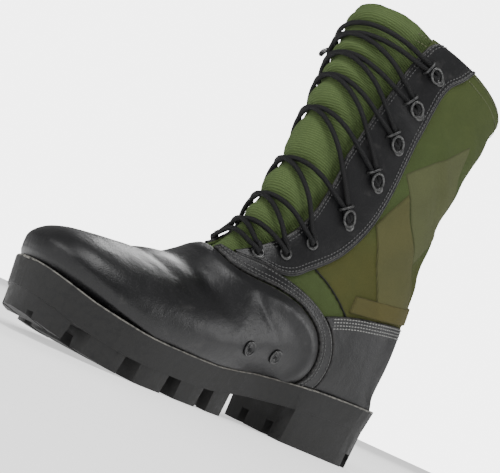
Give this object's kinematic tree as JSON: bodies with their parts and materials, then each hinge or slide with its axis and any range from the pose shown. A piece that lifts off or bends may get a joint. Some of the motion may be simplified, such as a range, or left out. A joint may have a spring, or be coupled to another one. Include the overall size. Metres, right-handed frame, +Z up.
{
  "type": "jungle boot",
  "caption": "Empty right jungle boot: black leather and green canvas upper laced at the front, drain vents and a lugged rubber sole with a block heel.",
  "frame": {"origin": "on the floor under the middle of the heel, on the flat middle block of the heel", "axes": "+X to the outer side of the foot, +Y to the toe, +Z up"},
  "size_m": [0.117, 0.3102, 0.3027],
  "materials": {
    "leather": "satin",
    "canvas": "matte",
    "webbing": "matte",
    "rubber": "matte",
    "lining": "matte",
    "metal": "satin",
    "cord": "matte"
  },
  "bodies": {
    "root": {"outsole": "rubber", "insole": "lining", "upper": "canvas", "tongue": "canvas", "vamp": "leather", "counter": "leather", "backstay": "webbing", "side_strip_medial": "leather", "side_strip_lateral": "leather", "eyestay_medial": "leather", "eyestay_lateral": "leather", "eyelet_medial_1": "metal", "eyelet_medial_2": "metal", "eyelet_medial_3": "metal", "eyelet_lateral_1": "metal", "eyelet_lateral_2": "metal", "eyelet_lateral_3": "metal", "speed_loop_medial_1": "metal", "speed_loop_medial_2": "metal", "speed_loop_medial_3": "metal", "speed_loop_medial_4": "metal", "speed_loop_medial_5": "metal", "speed_loop_lateral_1": "metal", "speed_loop_lateral_2": "metal", "speed_loop_lateral_3": "metal", "speed_loop_lateral_4": "metal", "speed_loop_lateral_5": "metal", "drain_vent_1": "metal", "drain_vent_2": "metal", "lace_bar_bottom": "cord", "lace_cross_1": "cord", "lace_cross_2": "cord", "lace_cross_3": "cord", "lace_cross_4": "cord", "lace_cross_5": "cord", "lace_cross_6": "cord", "lace_cross_7": "cord", "lace_bar_top": "cord", "lace_knot": "cord", "lace_end_aglet": "cord", "lace_end_loose": "cord"}
  },
  "joints": []
}
